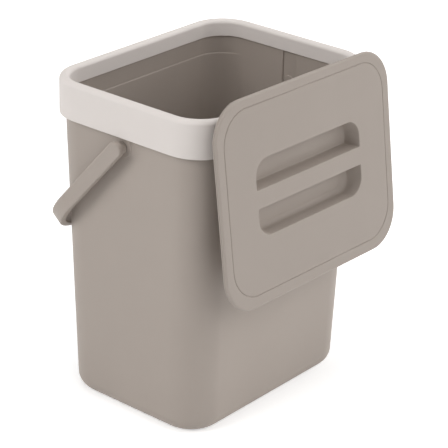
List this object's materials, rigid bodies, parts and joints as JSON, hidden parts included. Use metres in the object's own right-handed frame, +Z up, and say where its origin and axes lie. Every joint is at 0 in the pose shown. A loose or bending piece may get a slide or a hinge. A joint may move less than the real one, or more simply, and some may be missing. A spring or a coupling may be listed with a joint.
{
  "type": "compost caddy",
  "caption": "Tapered kitchen compost pail with a bag ring over its rim, a bail handle that swings over the top, and a lift-off lid hung on the front rim.",
  "frame": {"origin": "middle of the pail's footprint, on the floor", "axes": "+X along the front face to the right side, +Y towards the back, +Z up; the lid hangs on the front, towards -Y"},
  "size_m": [0.2116, 0.1904, 0.2694],
  "materials": {
    "pail_plastic": "fine matt moulded polypropylene, taupe",
    "ring_plastic": "fine satin moulded polypropylene, off-white",
    "handle_plastic": "fine matt moulded polypropylene, taupe",
    "lid_plastic": "fine matt moulded polypropylene, taupe"
  },
  "bodies": {
    "pail": {"pail": "pail_plastic"},
    "ring": {"bag_ring": "ring_plastic"},
    "handle": {"handle": "handle_plastic"},
    "lid": {"lid": "lid_plastic"}
  },
  "joints": [
    {"name": "handle_swing", "type": "hinge", "parent": "pail", "child": "handle", "pos_m": [0, 0.0012, 0.2185], "axis": [1, 0, 0], "range_deg": [0, 170]},
    {"name": "ring_lift", "type": "slide", "parent": "pail", "child": "ring", "axis": [0, 0, 1], "range_m": [0, 0.0265]},
    {"name": "lid_lift", "type": "slide", "parent": "ring", "child": "lid", "axis": [0, -0.28, 0.96], "range_m": [0, 0.15]}
  ]
}
